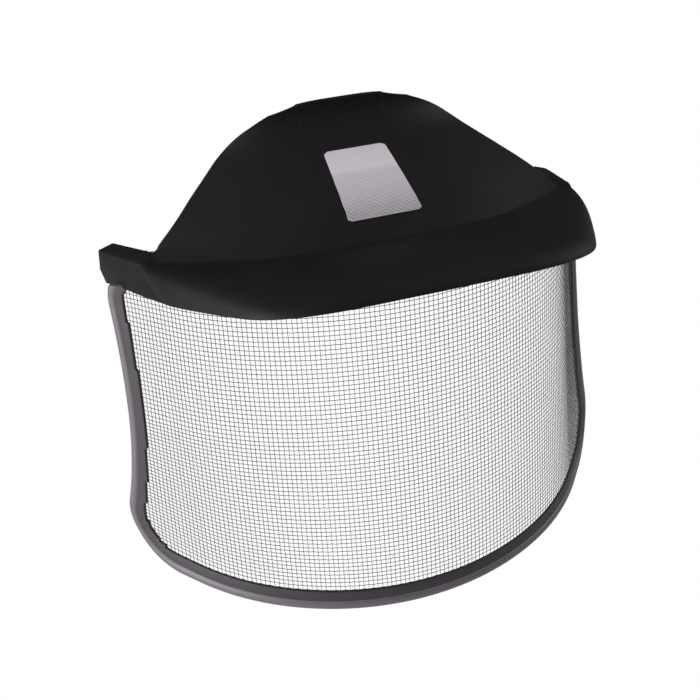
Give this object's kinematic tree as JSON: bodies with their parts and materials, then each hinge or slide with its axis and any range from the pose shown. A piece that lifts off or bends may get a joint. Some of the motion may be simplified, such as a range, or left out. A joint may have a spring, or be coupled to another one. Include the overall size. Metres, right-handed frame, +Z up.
{
  "type": "mesh face shield",
  "caption": "Forehead guard with a curved woven wire screen in an edge trim, tilting up on two side clips for headgear.",
  "frame": {"origin": "middle of the tilt axis, between the two pivots at the rear of the side arms", "axes": "+X to the wearer's left across the face, -Y the way the wearer looks, +Z up"},
  "size_m": [0.2268, 0.1214, 0.1977],
  "materials": {
    "guard_plastic": "fine matte moulded texture",
    "black_plastic": "plain moulded",
    "clip_plastic": "plain moulded",
    "screen_wire": "black coated woven wire",
    "trim_profile": "satin extruded profile",
    "label_film": "silver film with a printed dot pattern",
    "steel": "zinc plated",
    "brass": "turned",
    "washer_nylon": "natural nylon"
  },
  "bodies": {
    "headgear_clips": {"left_pivot_clip": "clip_plastic", "left_grub_screw": "steel", "right_pivot_clip": "clip_plastic", "right_grub_screw": "steel"},
    "visor": {"brow_guard": "guard_plastic", "label_plate": "label_film", "mesh_screen": "screen_wire", "edge_trim": "trim_profile", "screen_retainer": "black_plastic", "screen_rivets": "black_plastic", "rivet_washers": "steel", "left_pivot_insert": "brass", "left_pivot_screw": "steel", "left_friction_washer": "washer_nylon", "left_wave_washer": "steel", "right_pivot_insert": "brass", "right_pivot_screw": "steel", "right_friction_washer": "washer_nylon", "right_wave_washer": "steel"}
  },
  "joints": [
    {"name": "visor_tilt", "type": "hinge", "parent": "headgear_clips", "child": "visor", "pos_m": [0, 0, 0], "axis": [-1, 0, 0], "range_deg": [0, 75]}
  ]
}
